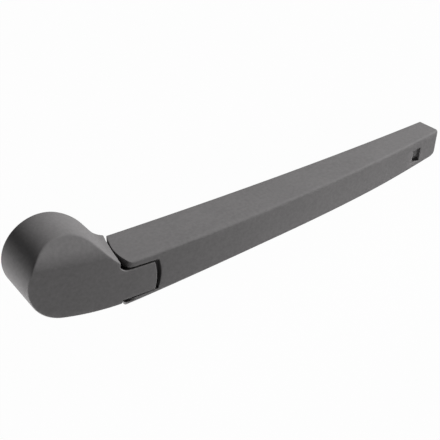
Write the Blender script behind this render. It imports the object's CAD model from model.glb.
from math import acos, atan2, cos, pi, radians, sin, sqrt, tan

import bmesh
import bpy
from mathutils import Matrix, Vector


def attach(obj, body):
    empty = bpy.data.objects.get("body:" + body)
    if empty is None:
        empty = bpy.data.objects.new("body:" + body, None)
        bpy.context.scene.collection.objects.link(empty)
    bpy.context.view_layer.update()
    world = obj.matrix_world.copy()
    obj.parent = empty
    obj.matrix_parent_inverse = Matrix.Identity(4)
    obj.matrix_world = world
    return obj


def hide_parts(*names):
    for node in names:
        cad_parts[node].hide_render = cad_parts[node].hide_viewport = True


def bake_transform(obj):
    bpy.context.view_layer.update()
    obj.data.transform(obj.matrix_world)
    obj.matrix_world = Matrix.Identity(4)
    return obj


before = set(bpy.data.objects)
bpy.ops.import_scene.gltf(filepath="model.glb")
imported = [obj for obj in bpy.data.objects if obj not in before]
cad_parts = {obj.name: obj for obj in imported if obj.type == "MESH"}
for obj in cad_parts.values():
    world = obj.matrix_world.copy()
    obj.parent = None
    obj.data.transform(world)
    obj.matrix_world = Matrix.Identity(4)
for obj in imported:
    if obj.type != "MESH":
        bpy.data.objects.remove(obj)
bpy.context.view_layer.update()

MM = 0.001

# The long arc that the outer face of head and arm follows; all lengths are in millimetres
crown_r = 1294.0
crown_x = 57.1
crown_top = 33.6

# Hinge pin, hook pin and the anchor pin of the spring
pin_x = 37.5
spine_y = -15.85
hook_x = 36.0
hook_drop = 12.0
anchor_x = 130.0

# Slanted gap between the head and the arm
nose_r = 7.0
shoulder_gap = 1.2
lean = radians(12.4)

# Head cover: walls, rim and face
flank_r = 150.0
cover_t = 1.9
face_edge_r = 0.7
face_end_x = 28.2
ceiling_end_x = 27.0
rim_rise_x = 22.0
rim_rise_run = 12.0
inner_rim_z = 3.6
outer_rim_z = 4.6
rim_ease = 0.1
facet_turn = radians(9.0)
facet_start = 7.1
facet_bend_r = 13.5
facet_slope = radians(39.0)

# Plan of the head at its rim and at its face. The drum ends at an angle, the neck's straight side lies at a
# distance and an angle from the spindle, and neck_y is the lowest point of the fillet that it runs into
rim_plan = {"drum": 22.39, "flank": radians(15.0), "drum_end": radians(62.0), "neck_off": 24.1,
            "neck_turn": radians(34.0), "fillet": 10.0, "neck_y": -1.0}
face_plan = {"drum": 22.05, "flank": radians(15.2), "drum_end": radians(75.0), "neck_off": 21.8,
             "neck_turn": radians(37.2), "fillet": 36.0, "neck_y": -10.5}

# Bow of the neck's end, toward the arm above the level height and away from it below
neck_level_z = 17.0
face_bow = 0.75
face_bow_run = 10.0
rim_bow = 0.4
rim_bow_run = 8.0

# Tongue, the web in its corner and the snap ears below it
tongue_foot_x = 28.0
tongue_foot_drop = 0.4
tongue_start_x = 26.2
tongue_end_x = 48.9
tongue_hi = -6.7
tongue_end_hi = -7.85
tongue_lo = -24.8
tongue_low_rise = 0.35
tongue_low_fall = 0.95
tongue_t = 1.9
tongue_edge_r = 0.5
tongue_end_r = 0.4
tongue_sink = 0.008
tongue_bulge_r = 35.0
bulge_y = -13.8
corner_r = 5.4
corner_edge_r = 0.3
corner_sink = 0.012
ear_r = 4.6
ear_top = 5.6
ear_bore_r = 2.56
ear_slot_half = 2.25
ear_sides = ((-8.1, -10.1), (-21.6, -23.6))
ear_ease = 0.25
notch_x = (22.0, 40.0)
notch_half = 6.25
notch_low_z = -5.0

# Arm: plan, walls and rim
arm_reach = 271.53
arm_root_x = 30.0
arm_root_w = 25.6
arm_tip_w = 16.4
arm_mid_y = -14.6
wall = 2.5
web_t = 2.4
tip_wall = wall + 1.6
channel_x = 52.5
channel_r = 1.0
long_edge_r = 1.6
arm_ease = 0.22
arm_rim_z = 5.2
rim_root_x = 35.0
rim_level_x = 153.3
rim_tip_x = 272.6
# Flare of the arm's lower side, as pairs of the share of the arm's length and the flare there
low_flare = ((-0.1, 1.4), (0.0, 1.0), (0.19, 0.2), (0.36, 0.0), (0.5, 0.48), (0.66, 1.13), (0.77, 1.38),
             (0.88, 1.13), (1.0, 0.68), (1.1, 0.3))

# Arm: tip, with its skew in plan and the slant of its end
tip_skew = 1.8 / arm_tip_w
tip_top_y = arm_mid_y + arm_tip_w / 2
tip_slant = 0.9
skew_start_x = 215.0
skew_run = 45.0
tip_top_r = 3.0
tip_upper_r = 1.8
tip_lower_r = 5.5
window_x = (246.0, 252.0)
window_y = (-20.1, -12.3)
window_r = 0.6
window_skew_y = -11.7
window_depth = 0.5

# Arm: hinge end
hinge_end_x = 53.0
early_round_x = 150.0
early_round_run = 90.0
early_round = 1.5
nose_low_r = 5.5
cheek_end_r = 33.4
cheek_end_mid = (64.95, 21.91)
cheek_toe_z = 14.0
cheek_toe_lean = 0.24
cheek_toe_bow = 0.004
cheek_corner_r = 2.6
strip_hi = -6.9
strip_edge = -5.25
strip_end_edge = -6.6
strip_lo = -25.5
strip_nose = 2.3
strip_nose_h = 4.0
strip_nose_in = 0.89
strip_nose_sink = 0.3
web_end_r = 13.3
web_bulge_r = 25.6
web_bulge_x = 51.6
web_low_z = 30.0
bush_seat_r = 3.6
bush_seat_y = (-3.1, -33.0)
lip_r = 2.4
lip_end_x = 42.0
lip_low_z = 20.0
lip_ahead = 0.4

# Arm: stops, saddles, ribs, crossbar and lock pad, which end inside the walls that carry them
stop_x = (40.1, 43.6)
stop_z = (6.4, 12.8)
stop_y = (-12.6, -19.1)
stop_seat = 1.0
stop_ease = 0.3
saddle_half = 5.25
saddle_slot_r = 2.05
saddle_low_z = 10.0
saddle_top_skin = 1.35
saddle_sides = ((-5.0, spine_y + 4.6), (spine_y - 4.6, -24.3))
rib_x = 150.0
rib_step = 18.25
rib_count = 5
rib_half = 0.8
rib_low_z = 9.0
rib_top_skin = 1.2
side_skin = 1.0
small_ease = 0.25
bar_x = 247.4
bar_drop = 5.6
bar_corner_x = (-1.9, 1.9)
bar_corner_z = (-2.4, -1.6)
bar_r = 1.6
pad_x = (-2.6, 2.7)
pad_z = (-1.0, 3.0)
pad_sides = (-11.1, -19.0)

# Heights far enough above and below the part for a cut to pass right through
above = 39.0
below = -8.0


def clamp(t):
    return min(max(t, 0.0), 1.0)


def soft_step(t):
    return t * t * (3 - 2 * t)


def between(a, b, t):
    return a + (b - a) * t


def arc(mid, r, start, end, steps):
    """Points of an arc, both ends among them."""
    turns = [start + (end - start) * i / steps for i in range(steps + 1)]
    return [(mid[0] + r * cos(turn), mid[1] + r * sin(turn)) for turn in turns]


def rounding(in_r, down_r, steps):
    """Steps of a rounded edge, from the side to the top: how far each lies in, and how far down."""
    turns = [radians(90 * i / steps) for i in range(steps + 1)]
    return [(in_r * (1 - cos(turn)), down_r * (1 - sin(turn))) for turn in turns]


def rounded_corners(across, up, r):
    """Outline about four corner arcs, whose middles lie at the given places across and up."""
    (left, right), (low, high) = across, up
    points = []
    for i, mid in enumerate(((right, high), (left, high), (left, low), (right, low))):
        points += arc(mid, r, radians(90 * i), radians(90 * i + 90), 4)
    return points


def even_steps(path, count):
    """Points at equal steps along a line, up to one step before its end."""
    run = [0.0]
    for a, b in zip(path, path[1:]):
        run.append(run[-1] + sqrt((b[0] - a[0]) ** 2 + (b[1] - a[1]) ** 2))
    points = []
    k = 0
    for i in range(count):
        want = run[-1] * i / count
        while run[k + 1] < want:
            k += 1
        t = (want - run[k]) / max(run[k + 1] - run[k], 1e-9)
        points.append((between(path[k][0], path[k + 1][0], t), between(path[k][1], path[k + 1][1], t)))
    return points


# Surfaces and edges that the pieces share

def crown(x, drop=0.0):
    return crown_top - crown_r + sqrt((crown_r - drop) ** 2 - (x - crown_x) ** 2)


pin_z = crown(pin_x) - nose_r
hook_z = pin_z - hook_drop


def facet_drop(x, y, sink):
    """How far the sloped facet of the head lies below the crown."""
    u = x * sin(facet_turn) + y * cos(facet_turn) - facet_start
    r = facet_bend_r - sink
    if u <= 0:
        return 0.0
    if u < r * sin(facet_slope):
        return r - sqrt(r * r - u * u)
    return r * (1 - cos(facet_slope)) + (u - r * sin(facet_slope)) * tan(facet_slope)


def roof(x, y):
    return crown(x) - facet_drop(x, y, 0.0)


def ceiling(x, y):
    return crown(x, cover_t) - facet_drop(x, y, cover_t)


def shoulder_x(z, off):
    """Slanted plane that faces the hinge, at a distance off from its pin."""
    return pin_x - (off + (z - pin_z) * sin(lean)) / cos(lean)


neck_end_x = shoulder_x(crown(tongue_foot_x), nose_r + shoulder_gap)


def along_tongue(x):
    return (x - neck_end_x) / (tongue_end_x - neck_end_x)


def tongue_edge(x):
    return between(tongue_hi, tongue_end_hi, along_tongue(x))


def tongue_low_edge(x):
    return tongue_lo + tongue_low_rise - tongue_low_fall * along_tongue(x)


def strip_line(x):
    return between(strip_edge, strip_end_edge, along_tongue(x))


def head_rim(x):
    return clamp((x - rim_rise_x) / rim_rise_run) * arm_rim_z


def arm_rim(x):
    """The rim is as high at the root as at the level place, arched between, and down to 0 at the tip."""
    arch = arm_rim_z / ((rim_tip_x - rim_root_x) * (rim_tip_x - rim_level_x))
    return arm_rim_z - arch * (x - rim_root_x) * (x - rim_level_x)


def along_arm(x):
    return (x - arm_root_x) / (arm_reach - arm_root_x)


def arm_half(x):
    return between(arm_root_w, arm_tip_w, along_arm(x)) / 2


def arm_low(x):
    """Lower side of the arm: a straight taper with a flare that varies along it."""
    share = along_arm(x)
    i = 1
    while i < len(low_flare) - 3 and share > low_flare[i + 1][0]:
        i += 1
    (a, p), (b, q), (c, r), (d, s) = low_flare[i - 1:i + 3]
    t = (share - b) / (c - b)
    lead = (r - p) / (c - a) * (c - b)
    trail = (s - q) / (d - b) * (c - b)
    flare = between(q, r, soft_step(t)) + t * (1 - t) * ((1 - t) * lead - t * trail)
    return arm_mid_y - arm_half(x) - flare


# Work in edit mode

def deselect_all():
    if bpy.context.object and bpy.context.object.mode != "OBJECT":
        bpy.ops.object.mode_set(mode="OBJECT")
    bpy.ops.object.select_all(action="DESELECT")


def take(piece):
    deselect_all()
    piece.select_set(True)
    bpy.context.view_layer.objects.active = piece


def loft(name, rings):
    """A circle set to the first section, extruded once for each section after it and filled at both ends."""
    deselect_all()
    count = len(rings[0])
    bpy.ops.mesh.primitive_circle_add(vertices=count, radius=10 * MM, fill_type="NOTHING")
    piece = bpy.context.object
    piece.name = name
    bpy.ops.object.mode_set(mode="EDIT")
    bpy.ops.mesh.select_mode(type="VERT")
    bpy.ops.mesh.select_all(action="SELECT")
    mesh = bmesh.from_edit_mesh(piece.data)
    mesh.verts.ensure_lookup_table()
    first = list(range(count))
    for i, spot in zip(first, rings[0]):
        mesh.verts[i].co = Vector(spot) * MM
    last = first
    for ring in rings[1:]:
        bpy.ops.mesh.extrude_region()
        mesh = bmesh.from_edit_mesh(piece.data)
        mesh.verts.ensure_lookup_table()
        mesh.verts.index_update()
        moved = []
        for i in last:
            ends = [edge.other_vert(mesh.verts[i]) for edge in mesh.verts[i].link_edges]
            moved.append([end.index for end in ends if end.select][0])
        for i, spot in zip(moved, ring):
            mesh.verts[i].co = Vector(spot) * MM
        last = moved
    for line in (first, last):
        bpy.ops.mesh.select_all(action="DESELECT")
        mesh = bmesh.from_edit_mesh(piece.data)
        mesh.verts.ensure_lookup_table()
        for i in line:
            mesh.verts[i].select = True
        mesh.select_flush(True)
        bpy.ops.mesh.edge_face_add()
    bpy.ops.mesh.select_all(action="SELECT")
    bpy.ops.mesh.normals_make_consistent(inside=False)
    bpy.ops.object.mode_set(mode="OBJECT")
    return piece


def crosswise(name, outline, y_hi, y_lo):
    """An outline in x and z, drawn out from one side of the part toward the other."""
    return loft(name, [[(x, y, z) for x, z in outline] for y in (y_hi, y_lo)])


def upright(name, outline, z_low, z_high):
    """An outline in plan, drawn out upward."""
    return loft(name, [[(x, y, z) for x, y in outline] for z in (z_low, z_high)])


def block(name, low, high, ease):
    """A cube stretched between two corners, with its edges bevelled."""
    deselect_all()
    middle = [(a + b) / 2 * MM for a, b in zip(low, high)]
    bpy.ops.mesh.primitive_cube_add(size=1.0, location=middle)
    piece = bpy.context.object
    piece.name = name
    bpy.ops.object.mode_set(mode="EDIT")
    bpy.ops.mesh.select_all(action="SELECT")
    bpy.ops.transform.resize(value=[(b - a) * MM for a, b in zip(low, high)])
    bpy.ops.mesh.bevel(offset=ease * MM, segments=2, affect="EDGES")
    bpy.ops.object.mode_set(mode="OBJECT")
    bpy.ops.object.transform_apply(location=True, rotation=True, scale=True)
    return piece


def carve(piece, cutter):
    take(piece)
    bpy.ops.object.modifier_add(type="BOOLEAN")
    cut = piece.modifiers[-1]
    cut.operation = "DIFFERENCE"
    cut.solver = "EXACT"
    cut.use_self = True
    cut.use_hole_tolerant = True
    cut.object = cutter
    bpy.ops.object.modifier_apply(modifier=cut.name)
    bpy.data.objects.remove(cutter, do_unlink=True)


def ease_edges(piece, width, angle=40.0):
    take(piece)
    bpy.ops.object.modifier_add(type="BEVEL")
    edge = piece.modifiers[-1]
    edge.limit_method = "ANGLE"
    edge.angle_limit = radians(angle)
    edge.width = width * MM
    edge.segments = 2
    bpy.ops.object.modifier_apply(modifier=edge.name)
    return piece


def smooth(piece, angle=32.0):
    take(piece)
    bpy.ops.object.shade_smooth_by_angle(angle=radians(angle))


def gather(piece, others):
    take(piece)
    for other in others:
        other.select_set(True)
    bpy.ops.object.join()
    return bpy.context.object


def shape_cap(piece, heights, along_x, along_y):
    """The flat face that closes the top is bisected into strips and set to the curved surface."""
    take(piece)
    bpy.ops.object.mode_set(mode="EDIT")
    bpy.ops.mesh.select_mode(type="FACE")
    mesh = bmesh.from_edit_mesh(piece.data)
    marks = mesh.faces.layers.int.new("cap")
    ring_count = max(len(face.verts) for face in mesh.faces)
    caps = [face for face in mesh.faces if len(face.verts) == ring_count]
    cap = max(caps, key=lambda face: face.calc_center_median().z)
    cap[marks] = 1
    held = {tuple(round(c, 9) for c in vert.co) for vert in cap.verts}
    bmesh.update_edit_mesh(piece.data)
    cuts = [((x * MM, 0, 0), (1, 0, 0)) for x in along_x]
    cuts += [((0, y * MM, 0), (0, 1, 0)) for y in along_y]
    for spot, normal in cuts:
        bpy.ops.mesh.select_all(action="DESELECT")
        mesh = bmesh.from_edit_mesh(piece.data)
        marks = mesh.faces.layers.int.get("cap")
        for face in mesh.faces:
            if face[marks] == 1:
                face.select_set(True)
        bpy.ops.mesh.bisect(plane_co=spot, plane_no=normal, threshold=1e-6)
    mesh = bmesh.from_edit_mesh(piece.data)
    marks = mesh.faces.layers.int.get("cap")
    for face in mesh.faces:
        if face[marks] == 1:
            for vert in face.verts:
                if tuple(round(c, 9) for c in vert.co) not in held:
                    vert.co.z = heights(vert.co.x / MM, vert.co.y / MM) * MM
    mesh.faces.layers.int.remove(marks)
    bmesh.update_edit_mesh(piece.data)
    bpy.ops.object.mode_set(mode="OBJECT")


# Head cover: drum, concave neck, slanted shoulder and tongue

def plan_outline(inset, end_x, nudge, drum, flank, drum_end, neck_off, neck_turn, fillet, neck_y):
    """Plan of the head, from the drum along the lower flank, the shoulder and the neck back to the drum."""
    r = drum - inset
    drum_low = radians(270) - flank
    fan_x = -(flank_r - drum) * cos(drum_low)
    fan_y = -(flank_r - drum) * sin(drum_low)

    def flank_y(x):
        return fan_y - sqrt((flank_r - inset) ** 2 - (x - fan_x) ** 2)

    fillet_y = neck_y + fillet
    fillet_x = (neck_off + fillet - sin(neck_turn) * fillet_y) / cos(neck_turn)
    fillet_r = fillet + inset
    neck_x = end_x + nudge
    low_y = flank_y(end_x)
    high_y = fillet_y - sqrt(fillet_r ** 2 - (neck_x - fillet_x) ** 2)
    # Lower flank and the rounded corner at its end
    start_x = r * cos(drum_low)
    flank_steps = [between(start_x, end_x, i / 14) for i in range(14)]
    spots = [(x, flank_y(x), "wall") for x in flank_steps]
    for back, up in ((0.6, 0.08), (0.22, 0.2), (0.06, 0.5)):
        spots.append((end_x - back, low_y + up, "wall"))
    # Shoulder, with the foot of the tongue in it
    foot_y = max(tongue_lo, low_y + 0.8)
    for y in ((low_y + foot_y) / 2, foot_y - 0.05):
        spots.append((end_x, y, "wall"))
    for y in (foot_y, -22.0, -18.5, -15.0, -12.0, -9.5, tongue_hi):
        spots.append((end_x, y, "tongue"))
    for t in (0.01, 0.2, 0.4, 0.6, 0.8, 1.0):
        spots.append((end_x + nudge * t, between(tongue_hi, high_y - 0.6, t), "wall"))
    for back, under in ((0.07, 0.24), (0.24, 0.02)):
        spots.append((neck_x - back, high_y - under, "wall"))
    # Neck: the fillet, the straight side and the bend to the drum
    bend_r = (neck_off - drum * cos(drum_end - neck_turn)) / (1 - cos(drum_end - neck_turn))
    bend_mid = ((drum - bend_r) * cos(drum_end), (drum - bend_r) * sin(drum_end))
    fillet_start = -acos((neck_x - 0.6 - fillet_x) / fillet_r)
    neck = arc((fillet_x, fillet_y), fillet_r, fillet_start, neck_turn - pi, 40)
    neck += arc(bend_mid, bend_r - inset, neck_turn, drum_end, 40)
    spots += [(x, y, "wall") for x, y in even_steps(neck, 36)]
    spots += [(x, y, "wall") for x, y in arc((0.0, 0.0), r, drum_end, drum_low, 62)[:-1]]
    return spots


def head_outline(inset, end_x, nudge, level):
    """The wall of the head leans in a little from its rim to its face."""
    low = plan_outline(inset, end_x, nudge, **rim_plan)
    high = plan_outline(inset, end_x, nudge, **face_plan)
    return [(between(a[0], b[0], level), between(a[1], b[1], level), a[2]) for a, b in zip(low, high)]


def neck_nudge(z):
    up = clamp((z - neck_level_z) / face_bow_run)
    down = clamp((neck_level_z - z) / rim_bow_run)
    return face_bow * soft_step(up) - rim_bow * soft_step(down)


def cover_sections():
    """Sections of the shell: down its inner wall, up its outer wall and round the edge of its face."""
    rings = []
    outer_gap = nose_r + shoulder_gap
    inner_gap = outer_gap + cover_t
    inner_top_z = crown(ceiling_end_x) - cover_t
    for t in (1.0, 0.75, 0.5, 0.25, 0.0):
        end_x = shoulder_x(between(inner_rim_z, inner_top_z, t), inner_gap)
        outline = head_outline(cover_t, end_x, 0.0, t)
        rings.append([(x, y, between(head_rim(x), ceiling(x, y), t)) for x, y, part in outline])
    wall_top_z = crown(face_end_x) - face_edge_r
    for t in (0.0, 0.015, 0.2, 0.4, 0.6, 0.8, 1.0):
        ease = rim_ease if t == 0.0 else 0.0
        end_z = between(outer_rim_z, wall_top_z, t)
        outline = head_outline(ease, shoulder_x(end_z, outer_gap + ease), neck_nudge(end_z), t)
        rings.append([(x, y, between(head_rim(x), roof(x, y) - face_edge_r, t)) for x, y, part in outline])
    foot_x = shoulder_x(crown(face_end_x), outer_gap)
    steps = 5
    for i, (inset, drop) in enumerate(rounding(face_edge_r, face_edge_r, steps)):
        if i == 0:
            continue
        end_z = wall_top_z + face_edge_r - drop
        ring = []
        for x, y, part in head_outline(inset, shoulder_x(end_z, outer_gap + inset), neck_nudge(end_z), 1.0):
            if part == "tongue":
                ring.append((foot_x, y, roof(foot_x, y) - tongue_foot_drop * (1 - i / steps)))
            else:
                ring.append((x, y, roof(x, y) - drop))
        rings.append(ring)
    return rings


def tongue_end(y):
    return tongue_end_x - tongue_bulge_r + sqrt(tongue_bulge_r ** 2 - (y - bulge_y) ** 2)


def make_tongue():
    ease = tongue_edge_r
    side = [(0.0, tongue_t)] + rounding(ease, ease, 4)
    section = [(tongue_lo + inset, drop) for inset, drop in side]
    section += [(between(tongue_lo + ease, tongue_hi - ease, i / 10), 0.0) for i in range(1, 10)]
    section += [(tongue_hi - inset, drop) for inset, drop in reversed(side)]
    section += [(between(tongue_hi, tongue_lo, i / 10), tongue_t) for i in range(1, 10)]
    rings = []
    for t in (0.0, 0.2, 0.4, 0.6, 0.8, 0.95):
        rings.append([(between(tongue_start_x, tongue_end(y), t), y, drop) for y, drop in section])
    for sink, back in rounding(tongue_end_r, tongue_end_r, 4):
        rings.append([(tongue_end(y) - back, y, max(drop, sink)) for y, drop in section])
    tapered = []
    for ring in rings:
        spots = []
        for x, y, drop in ring:
            low = tongue_low_edge(x)
            share = (tongue_edge(x) - low) / (tongue_hi - tongue_lo)
            spots.append((x, low + (y - tongue_lo) * share, crown(x) - drop - tongue_sink))
        tapered.append(spots)
    return loft("tongue", tapered)


def make_corner():
    """Rounded web in the corner between shoulder and tongue."""
    mid_x = neck_end_x + corner_r
    edge = tongue_edge(mid_x)
    inner_x = neck_end_x - 0.9
    inner_y = edge - 0.7
    rings = []
    for inset, drop in [(0.0, tongue_t)] + rounding(corner_edge_r, corner_edge_r, 6):
        outline = [(inner_x, inner_y), (mid_x, inner_y)]
        outline += arc((mid_x, edge + corner_r), corner_r + inset, radians(-90), radians(-180), 16)
        outline.append((inner_x, edge + corner_r))
        rings.append([(x, y, crown(x) - drop - corner_sink) for x, y in outline])
    return loft("tongue_corner", rings)


def make_ear(y_hi, y_lo):
    """Snap ear: an open ring on the hinge pin, hung from the tongue."""
    pin = (pin_x, pin_z)
    outer_turn = acos(ear_slot_half / ear_r)
    bore_turn = acos(ear_slot_half / ear_bore_r)
    outline = arc(pin, ear_r, outer_turn - pi, -pi, 12)
    outline += [(pin_x - ear_r, pin_z + ear_top), (pin_x + ear_r, pin_z + ear_top)]
    outline += arc(pin, ear_r, 0.0, -outer_turn, 12)
    outline += arc(pin, ear_bore_r, -bore_turn, pi + bore_turn, 24)
    return ease_edges(crosswise("ear", outline, y_hi, y_lo), ear_ease)


def notch_cutter():
    """The way through the shoulder for the mounting head."""
    start, end = notch_x
    top = [between(start, end, i / 6) for i in range(7)]
    outline = [(x, crown(x, cover_t)) for x in top] + [(end, notch_low_z), (start, notch_low_z)]
    return crosswise("notch", outline, spine_y + notch_half, spine_y - notch_half)


def make_cover():
    cover = loft("cover_shell", cover_sections())
    along_x = [-17.5 + 1.25 * i for i in range(36)]
    along_y = [-24, -20, -15, -10, -5, -2.5, -1] + [0.6 * i for i in range(36)]
    shape_cap(cover, roof, along_x, along_y)
    carve(cover, notch_cutter())
    extras = [make_tongue(), make_corner()]
    extras += [make_ear(y_hi, y_lo) for y_hi, y_lo in ear_sides]
    cover = gather(cover, extras)
    smooth(cover)
    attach(cover, "cover")
    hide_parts("head_cover")
    return cover


# Arm: crowned channel with a closed tip

def nose_middle(r):
    """Middle of the arc that is tangent to the slanted end of the arm and to the crown."""
    x = pin_x + (r - nose_r) / cos(lean)
    for i in range(6):
        z = crown(x, r)
        x = pin_x + (r - nose_r - (z - pin_z) * sin(lean)) / cos(lean)
    return x, z


def low_cheek_end(r):
    """Outline of the lower cheek's end, rounded to the outer face with radius r."""
    mid_x, mid_z = nose_middle(r)

    def place(z):
        if z <= mid_z - r * sin(lean):
            return shoulder_x(z, nose_r)
        return mid_x - sqrt(max(r ** 2 - (z - mid_z) ** 2, 0.0))

    return mid_x, place


def high_cheek_end(z):
    """The upper cheek ends in a long arc with a rounded corner at the outer face."""
    mid_x, mid_z = cheek_end_mid
    x = mid_x - sqrt(cheek_end_r ** 2 - (max(z, cheek_toe_z) - mid_z) ** 2)
    if z < cheek_toe_z:
        x += (cheek_toe_z - z) * (cheek_toe_lean + cheek_toe_bow * (cheek_toe_z - z))
    over = z - crown(rim_root_x, cheek_corner_r)
    if over > 0:
        x += cheek_corner_r - sqrt(max(cheek_corner_r ** 2 - over ** 2, 0.0))
    return x


def tip_round(x, r):
    """How far a corner of radius r at the tip has fallen back at x."""
    over = max(x - arm_reach + r, 0.0)
    return r - sqrt(max(r ** 2 - over ** 2, 0.0))


def arm_side(x):
    """Height of the outer face, and the upper and lower side of the arm, at x."""
    top = crown(x) - tip_round(x, tip_top_r)
    upper = arm_mid_y + arm_half(x) - tip_round(x, tip_upper_r)
    lower = arm_low(x) + tip_round(x, tip_lower_r)
    return top, upper, lower


# Points of a section up to the middle of its outer face
lower_count = 22


def half_section(x, t, nose_x, end_x):
    """Closed section at x. Below t = 1 it leans to the rounded hinge end, and near the tip it is skewed."""
    web_x = between(nose_x, x, t)
    top, upper, lower = arm_side(web_x)
    toe = arm_rim(between(rim_root_x, x, t))
    r = long_edge_r
    # Near the hinge the upper cheek rounds over early
    bow = r * (1 + early_round * clamp((early_round_x - x) / early_round_run))
    heights = (0.0, 0.2, 0.4, 0.56, 0.68, 0.77, 0.84, 0.9, 0.955)
    spots = [(lower, between(toe, top - r, share), share) for share in heights]
    spots += [(lower + inset, top - drop, 1.0) for inset, drop in rounding(r, r, 8)]
    spots += [(between(lower + r, upper - r, i / 10), top, 1.0) for i in range(1, 10)]
    spots += [(upper - inset, top - drop, 1.0) for inset, drop in reversed(rounding(r, bow, 8))]
    spots += [(upper, between(toe, top - bow, share), share) for share in reversed(heights)]
    spots += [(between(upper, lower, i / 5), toe, 0.0) for i in range(1, 5)]
    near_tip = soft_step(clamp((x - skew_start_x) / skew_run))
    ring = []
    for y, z, share in spots:
        place = between(end_x(z), x, t)
        side = arm_half if y > arm_mid_y else arm_low
        slide = -(tip_skew * (tip_top_y - y) + tip_slant * (1 - share)) * near_tip
        lift = (crown(x + slide) - crown(x)) * share
        ring.append((place + slide, y + side(place) - side(web_x), z + lift))
    return ring


def arm_section(x, t):
    """The lower cheek ends in a rounded nose, the upper one in its arc."""
    lower = half_section(x, t, *low_cheek_end(nose_low_r))
    upper = half_section(x, t, high_cheek_end(crown(rim_root_x)), high_cheek_end)
    return lower[:lower_count] + upper[lower_count:]


def arm_sections():
    rings = [arm_section(hinge_end_x, t) for t in (0.0, 0.03, 0.15, 0.35, 0.55, 0.75, 1.0)]
    end_z = crown(rim_root_x)
    # The strip beside the tongue reaches a little past the rounded corner of its cheek
    nose = []
    for i, (x, y, z) in enumerate(rings[0]):
        reach = clamp((z - end_z + strip_nose_h) / strip_nose_h) if i >= lower_count else 0.0
        in_y = between(arm_mid_y, y, strip_nose_in)
        nose.append((x - strip_nose * reach ** 2, in_y, z - strip_nose_sink * reach))
    # Both ends run straight inward from the cheeks, to the middle that the opening takes away
    edge_z = end_z - long_edge_r
    inner_y, inner_share, inner_sink = -16.0, 0.25, 0.75
    inner = []
    for x, y, z in nose:
        inner.append((x, inner_y + (y - arm_mid_y) * inner_share, z - inner_sink * max(z - edge_z, 0.0)))
    stations = [60 + 6.5 * i for i in range(31)]
    tip_steps = (8, 6.5, 5.5, 4.7, 4, 3.4, 2.8, 2.4, 2, 1.6, 1.2, 0.85, 0.55, 0.3, 0.13, 0.06)
    stations += [arm_reach - back for back in tip_steps]
    return [inner, nose] + rings + [arm_section(x, 1.0) for x in stations]


def channel_cutter():
    rings = []
    for i in range(30):
        x = between(channel_x, arm_reach - tip_wall, i / 29)
        top = crown(x, web_t)
        upper = arm_mid_y + arm_half(x) - wall
        lower = arm_low(x) + wall
        edge = rounding(channel_r, channel_r, 3)
        outline = [(lower, below)] + [(lower + inset, top - drop) for inset, drop in edge]
        outline += [(upper - inset, top - drop) for inset, drop in reversed(edge)] + [(upper, below)]
        rings.append([(x, y, z) for y, z in outline])
    return loft("channel", rings)


def hinge_room_cutter():
    """The room for the hinge and the opening that the tongue fills, bulged in plan at its end."""
    room_start_x = 16.0
    room_end_x = 53.5
    room_low_z = -6.0
    rings = []
    for i in range(15):
        y = between(strip_hi, strip_lo, i / 14)
        bulge = web_bulge_x - web_bulge_r + sqrt(web_bulge_r ** 2 - (y - bulge_y) ** 2)
        outline = [(room_start_x, above), (room_start_x, room_low_z), (room_end_x, room_low_z),
                   (room_end_x, web_low_z)]
        for z in (web_low_z + 0.001, 30.8, 31.6, 32.4, 33.2, 34.0, 36.0):
            outline.append((max(pin_x + sqrt(web_end_r ** 2 - (z - pin_z) ** 2), bulge), z))
        outline.append((outline[-1][0], above))
        rings.append([(x, y, z) for x, z in outline])
    return loft("hinge_room", rings)


def taper_cutter():
    """The strip beside the tongue follows the tongue's taper."""
    start_x = 18.0
    end_x = 49.9
    inner_y = strip_hi - 0.5
    low_z = pin_z + 3.75
    outline = [(start_x, strip_line(start_x)), (end_x, strip_line(end_x))]
    outline += [(end_x, inner_y), (start_x, inner_y)]
    return upright("taper", outline, low_z, above + 1.0)


def window_cutter():
    """The lock window, skewed like the end of the tip."""
    corners = rounded_corners(window_x, window_y, window_r)
    outline = [(x + tip_skew * (y - window_skew_y), y) for x, y in corners]
    low_z = crown(window_x[0] - window_r) - web_t - window_depth
    return upright("window", outline, low_z, low_z + 12.0)


def bush_seat_cutter():
    outline = arc((pin_x, pin_z), bush_seat_r, 0.0, 2 * pi, 48)[:-1]
    return crosswise("bush_seat", outline, *bush_seat_y)


def make_channel():
    arm = loft("arm_channel", arm_sections())
    for make_cutter in (channel_cutter, hinge_room_cutter, taper_cutter, window_cutter, bush_seat_cutter):
        carve(arm, make_cutter())
    return ease_edges(arm, arm_ease, 50.0)


def make_lip():
    """Outer skin of the lower cheek, which reaches past its nose along the head's flank."""
    mid_x, place = low_cheek_end(lip_r)
    rings = []
    for inset in (1.55, 1.2, 0.85, 0.5, 0.24, 0.08, 0.015):
        drop = long_edge_r - sqrt(long_edge_r ** 2 - (long_edge_r - inset) ** 2) + 0.015
        outline = []
        for share in (0.0, 0.3, 0.5, 0.65, 0.77, 0.85, 0.9, 0.94, 0.97, 0.99, 1.0):
            z = between(lip_low_z, crown(mid_x) - drop, share)
            outline.append((place(z), z))
        outline += [(x, crown(x) - drop) for x in (33.0, 36.0, 39.0, lip_end_x)]
        outline.append((lip_end_x, lip_low_z))
        rings.append([(x - lip_ahead, arm_low(x) + inset, z) for x, z in outline])
    return loft("lip", rings)


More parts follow.
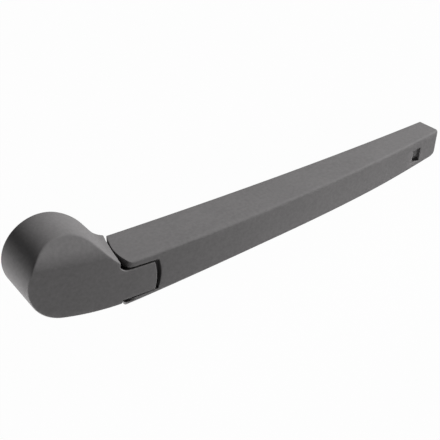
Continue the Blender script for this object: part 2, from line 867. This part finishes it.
def make_saddle(y_hi, y_lo):
    """Block that hangs from the web and holds one end of the anchor pin in an open slot."""
    top = crown(anchor_x) - saddle_top_skin
    outline = [(anchor_x - saddle_half, saddle_low_z), (anchor_x - saddle_half, top)]
    outline += [(anchor_x + saddle_half, top), (anchor_x + saddle_half, saddle_low_z)]
    outline.append((anchor_x + saddle_slot_r, saddle_low_z))
    outline += arc((anchor_x, hook_z), saddle_slot_r, 0.0, pi, 12)
    outline.append((anchor_x - saddle_slot_r, saddle_low_z))
    return ease_edges(crosswise("saddle", outline, y_hi, y_lo), small_ease)


def sloped_bar(name, outline, y_hi, y_lo):
    """A bar across the arm that lies parallel to the outer face above it."""
    slope = atan2(bar_x - crown_x, crown_r)
    top = crown(bar_x) - bar_drop
    turned = []
    for a, b in outline:
        turned.append((bar_x + a * cos(slope) + b * sin(slope), top - a * sin(slope) + b * cos(slope)))
    return crosswise(name, turned, y_hi, y_lo)


def make_crossbar():
    half = arm_half(bar_x) - side_skin
    outline = rounded_corners(bar_corner_x, bar_corner_z, bar_r)
    return sloped_bar("crossbar", outline, arm_mid_y + half, arm_mid_y - half)


def make_lock_pad():
    """Raised pad on the crossbar, under the lock window."""
    (left, right), (low, high) = pad_x, pad_z
    outline = [(left, low), (right, low), (right, high), (left, high)]
    return ease_edges(sloped_bar("lock_pad", outline, *pad_sides), small_ease)


def make_stops():
    (x_lo, x_hi), (z_lo, z_hi) = stop_x, stop_z
    upper = block("stop", (x_lo, stop_y[0], z_lo), (x_hi, strip_hi + stop_seat, z_hi), stop_ease)
    lower = block("stop", (x_lo, strip_lo - stop_seat, z_lo), (x_hi, stop_y[1], z_hi), stop_ease)
    return [upper, lower]


def make_rib(x):
    low = (x - rib_half, arm_low(x) + side_skin, rib_low_z)
    high = (x + rib_half, arm_mid_y + arm_half(x) - side_skin, crown(x) - rib_top_skin)
    return block("rib", low, high, small_ease)


def make_arm():
    arm = make_channel()
    extras = make_stops()
    extras += [make_saddle(y_hi, y_lo) for y_hi, y_lo in saddle_sides]
    extras += [make_rib(rib_x + rib_step * i) for i in range(rib_count)]
    extras += [make_crossbar(), make_lock_pad(), make_lip()]
    arm = gather(arm, extras)
    smooth(arm)
    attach(arm, "arm")
    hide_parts("arm_moulding")
    return arm


# Tension spring

def spring_line():
    """Middle of the wire: the hook at the head, the coil and the hook at the anchor pin."""
    coil_r, turns, turn_steps = 3.8, 14, 16
    coil_start, coil_end = 62.0, 120.0
    loop_r, loop_turn = 3.1, radians(235)
    top = radians(90)
    spots = [(x, spine_y, z) for x, z in arc((hook_x, hook_z), loop_r, top + loop_turn, top, 12)]
    for i in range(1, 6):
        spots.append((between(hook_x, coil_start, i / 6), spine_y, hook_z + between(loop_r, coil_r, i / 6)))
    steps = turns * turn_steps
    for i in range(steps + 1):
        turn = 2 * pi * i / turn_steps
        x = between(coil_start, coil_end, i / steps)
        spots.append((x, spine_y + coil_r * sin(turn), hook_z + coil_r * cos(turn)))
    for i in range(1, 6):
        spots.append((between(coil_end, anchor_x, i / 6), spine_y, hook_z + between(coil_r, loop_r, i / 6)))
    spots += [(x, spine_y, z) for x, z in arc((anchor_x, hook_z), loop_r, top, top - loop_turn, 12)]
    return spots


def make_spring():
    wire_r = 1.0
    spots = spring_line()
    deselect_all()
    bpy.ops.curve.primitive_nurbs_path_add()
    spring = bpy.context.object
    spring.name = "spring_coil"
    spring.location = (0, 0, 0)
    line = spring.data
    line.splines.clear()
    wire = line.splines.new("NURBS")
    wire.points.add(len(spots) - 1)
    for point, (x, y, z) in zip(wire.points, spots):
        point.co = (x * MM, y * MM, z * MM, 1.0)
    wire.order_u = 3
    wire.use_endpoint_u = True
    line.resolution_u = 2
    line.bevel_depth = wire_r * MM
    line.bevel_resolution = 3
    line.use_fill_caps = True
    take(spring)
    bpy.ops.object.convert(target="MESH")
    bpy.ops.object.shade_smooth()
    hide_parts("tension_spring")
    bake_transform(spring)
    return spring


# Finishes

class Wire:
    """A socket that sums, differences and products can be written with."""

    def __init__(self, graph, socket):
        self.graph = graph
        self.socket = socket

    def maths(self, operation, a, b):
        return self.graph.node("ShaderNodeMath", {"operation": operation}, {0: a, 1: b})

    def __add__(self, other):
        return self.maths("ADD", self, other)

    def __radd__(self, other):
        return self.maths("ADD", other, self)

    def __sub__(self, other):
        return self.maths("SUBTRACT", self, other)

    def __rsub__(self, other):
        return self.maths("SUBTRACT", other, self)

    def __mul__(self, other):
        return self.maths("MULTIPLY", self, other)

    def __rmul__(self, other):
        return self.maths("MULTIPLY", other, self)


class Graph:
    """The nodes of a finish or of the surroundings, each added by one method."""

    def __init__(self, tree):
        self.tree = tree

    def set(self, socket, value):
        if isinstance(value, Wire):
            self.tree.links.new(value.socket, socket)
        else:
            socket.default_value = value

    def node(self, kind, settings, sockets, output=0):
        node = self.tree.nodes.new(kind)
        for key, value in settings.items():
            setattr(node, key, value)
        for key, value in sockets.items():
            self.set(node.inputs[key], value)
        return Wire(self, node.outputs[output])


class Finish(Graph):
    """A material with its shader."""

    def __init__(self, name):
        self.material = bpy.data.materials.new(name)
        self.material.use_nodes = True
        super().__init__(self.material.node_tree)
        self.shader = self.tree.nodes["Principled BSDF"]

    def noise(self, scale, detail, roughness):
        place = self.node("ShaderNodeTexCoord", {}, {}, "Object")
        sockets = {"Vector": place, "Scale": scale, "Detail": detail, "Roughness": roughness}
        return self.node("ShaderNodeTexNoise", {}, sockets)

    def ramp(self, value, low, high):
        sockets = {"Value": value, "From Min": low, "From Max": high}
        return self.node("ShaderNodeMapRange", {"interpolation_type": "SMOOTHSTEP"}, sockets)

    def tint(self, amount, dark, light):
        return self.node("ShaderNodeMix", {"data_type": "RGBA"}, {0: amount, 6: dark, 7: light}, 2)

    def bump(self, height, strength, distance):
        sockets = {"Height": height, "Strength": strength, "Distance": distance}
        return self.node("ShaderNodeBump", {}, sockets)

    def put(self, sockets):
        for key, value in sockets.items():
            self.set(self.shader.inputs[key], value)


def moulded_plastic():
    plastic = Finish("moulded_grey_plastic")
    grain = plastic.noise(1500.0, 2.0, 0.6)
    fleck = plastic.noise(520.0, 3.0, 0.55)
    cloud = plastic.noise(38.0, 3.0, 0.55)
    worn = plastic.node("ShaderNodeNewGeometry", {}, {}, "Pointiness")
    edge = plastic.ramp(worn, 0.53, 0.62)
    shade = 0.5 + (fleck - 0.5) * 0.9 + (cloud - 0.5) * 0.5 + edge * 0.06
    plastic.put({
        "Base Color": plastic.tint(shade, (0.0745, 0.072, 0.0728, 1), (0.119, 0.115, 0.1158, 1)),
        "Roughness": 0.72 + (cloud - 0.5) * 0.12 - edge * 0.06 + (grain - 0.5) * 0.1,
        "Normal": plastic.bump(grain * 0.6 + fleck * 0.4, 0.28, 0.00012),
        "IOR": 1.47,
        "Specular IOR Level": 0.15,
    })
    return plastic.material


def cast_alloy():
    alloy = Finish("die_cast_alloy")
    skin = alloy.noise(420.0, 4.0, 0.6)
    cloud = alloy.noise(60.0, 3.0, 0.5)
    shade = cloud * 0.7 + skin * 0.3
    alloy.put({
        "Base Color": alloy.tint(shade, (0.105, 0.105, 0.108, 1), (0.165, 0.165, 0.17, 1)),
        "Metallic": 0.85,
        "Roughness": 0.44 + (skin - 0.5) * 0.25,
        "Normal": alloy.bump(skin, 0.2, 0.0002),
    })
    return alloy.material


def plated_steel():
    steel = Finish("plated_steel")
    skin = steel.noise(900.0, 3.0, 0.6)
    cloud = steel.noise(120.0, 3.0, 0.5)
    steel.put({
        "Base Color": steel.tint(cloud, (0.2, 0.2, 0.205, 1), (0.29, 0.29, 0.295, 1)),
        "Metallic": 1.0,
        "Roughness": 0.3 + (skin - 0.5) * 0.2,
        "Normal": steel.bump(skin, 0.1, 0.00005),
    })
    return steel.material


def spring_wire():
    wire = Finish("oiled_spring_wire")
    skin = wire.noise(700.0, 3.0, 0.6)
    cloud = wire.noise(90.0, 3.0, 0.5)
    wire.put({
        "Base Color": wire.tint(cloud, (0.09, 0.09, 0.094, 1), (0.17, 0.17, 0.175, 1)),
        "Metallic": 1.0,
        "Roughness": 0.34 + (skin - 0.5) * 0.2,
        "Normal": wire.bump(skin, 0.12, 0.00005),
    })
    return wire.material


def sintered_bronze():
    bronze = Finish("sintered_bronze")
    pores = bronze.noise(1300.0, 3.0, 0.6)
    cloud = bronze.noise(150.0, 3.0, 0.5)
    shade = cloud * 0.6 + pores * 0.4
    bronze.put({
        "Base Color": bronze.tint(shade, (0.030, 0.022, 0.014, 1), (0.075, 0.054, 0.032, 1)),
        "Metallic": 0.95,
        "Roughness": 0.42 + (pores - 0.5) * 0.25,
        "Normal": bronze.bump(pores, 0.2, 0.00008),
    })
    return bronze.material


def clothe(piece, material):
    piece.data.materials.clear()
    piece.data.materials.append(material)


def clothe_node(name, material):
    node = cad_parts[name]
    if not node.material_slots:
        node.data.materials.append(material)
    for slot in node.material_slots:
        slot.material = material


# Floor, light and camera

floor_width = 6000.0
floor_mid_x = 100.0
floor_drop = 0.2
floor_white = 0.98
sky_light = 0.09
camera_right = Vector((0.8286, -0.0149, 0.5596))
camera_back = Vector((-0.4617, 0.5472, 0.6981))
camera_place = Vector((-146.22, 281.85, 389.43))
sensor_width = 36.0
focal_pixels = 950.852
frame_pixels = 440.0


def seen_directly(graph):
    """1 for what the camera sees, also by way of metal or glass, and 0 for light that falls on the part."""
    camera, mirrored, through = [graph.node("ShaderNodeLightPath", {}, {}, f"Is {kind} Ray")
                                 for kind in ("Camera", "Glossy", "Transmission")]
    return 1 - (1 - camera) * (1 - mirrored) * (1 - through)


def make_floor():
    deselect_all()
    middle = (floor_mid_x * MM, 0, -floor_drop * MM)
    bpy.ops.mesh.primitive_plane_add(size=floor_width * MM, location=middle)
    floor = bpy.context.object
    floor.name = "studio_floor"
    paper = Finish("white_floor")
    paper.put({"Base Color": (0.2, 0.2, 0.2, 1), "Roughness": 0.9, "Specular IOR Level": 0.0})
    matte = Wire(paper, paper.shader.outputs[0])
    white = paper.node("ShaderNodeEmission", {}, {"Color": (1, 1, 1, 1), "Strength": 1.0})
    share = seen_directly(paper) * floor_white
    surface = paper.node("ShaderNodeMixShader", {}, {0: share, 1: matte, 2: white})
    paper.set(paper.tree.nodes["Material Output"].inputs["Surface"], surface)
    clothe(floor, paper.material)


def make_world():
    world = bpy.data.worlds.new("studio")
    bpy.context.scene.world = world
    world.use_nodes = True
    studio = Graph(world.node_tree)
    sky = studio.tree.nodes["Background"]
    studio.set(sky.inputs["Color"], (1, 1, 1, 1))
    studio.set(sky.inputs["Strength"], seen_directly(studio) * (1 - sky_light) + sky_light)


def soft_box(name, place, aim, size, power):
    deselect_all()
    bpy.ops.object.light_add(type="AREA", location=[c * MM for c in place])
    lamp = bpy.context.object
    lamp.name = name
    lamp.data.shape = "RECTANGLE"
    lamp.data.size = size[0] * MM
    lamp.data.size_y = size[1] * MM
    lamp.data.energy = power
    turn = (Vector(aim) - Vector(place)).to_track_quat("-Z", "Y")
    lamp.rotation_euler = turn.to_euler()


def make_camera():
    deselect_all()
    bpy.ops.object.camera_add()
    camera = bpy.context.object
    back = camera_back.normalized()
    up = back.cross(camera_right.normalized()).normalized()
    right = up.cross(back).normalized()
    place = Matrix((right, up, back)).transposed().to_4x4()
    place.translation = camera_place * MM
    camera.matrix_world = place
    camera.data.sensor_fit = "HORIZONTAL"
    camera.data.sensor_width = sensor_width
    camera.data.lens = sensor_width * focal_pixels / frame_pixels
    camera.data.clip_start = 0.01
    camera.data.clip_end = 20.0
    camera.data.dof.use_dof = False
    bpy.context.scene.camera = camera


# The whole part, dressed and lit

plastic = moulded_plastic()
clothe(make_cover(), plastic)
clothe(make_arm(), plastic)
clothe(make_spring(), spring_wire())
clothe_node("mounting_head", cast_alloy())
steel = plated_steel()
for name in ("hinge_pin", "hook_pin", "spring_anchor_pin"):
    clothe_node(name, steel)
bronze = sintered_bronze()
for name in ("hinge_bush_upper", "hinge_bush_lower"):
    clothe_node(name, bronze)
make_floor()
make_world()
soft_box("key_light", (1960, 1525, 420), (110, -10, 15), (900, 800), 140.0)
soft_box("low_light", (-500, -560, 30), (0, 0, 20), (400, 50), 16.0)
soft_box("front_light", (-100, -700, 900), (110, -10, 20), (500, 400), 3.7)
soft_box("middle_light", (150, -140, 150), (125, -16, 28), (120, 60), 0.11)
soft_box("arm_light", (295, -150, 140), (245, -16, 22), (80, 60), 0.2)
make_camera()
bpy.context.scene.view_settings.view_transform = "Standard"
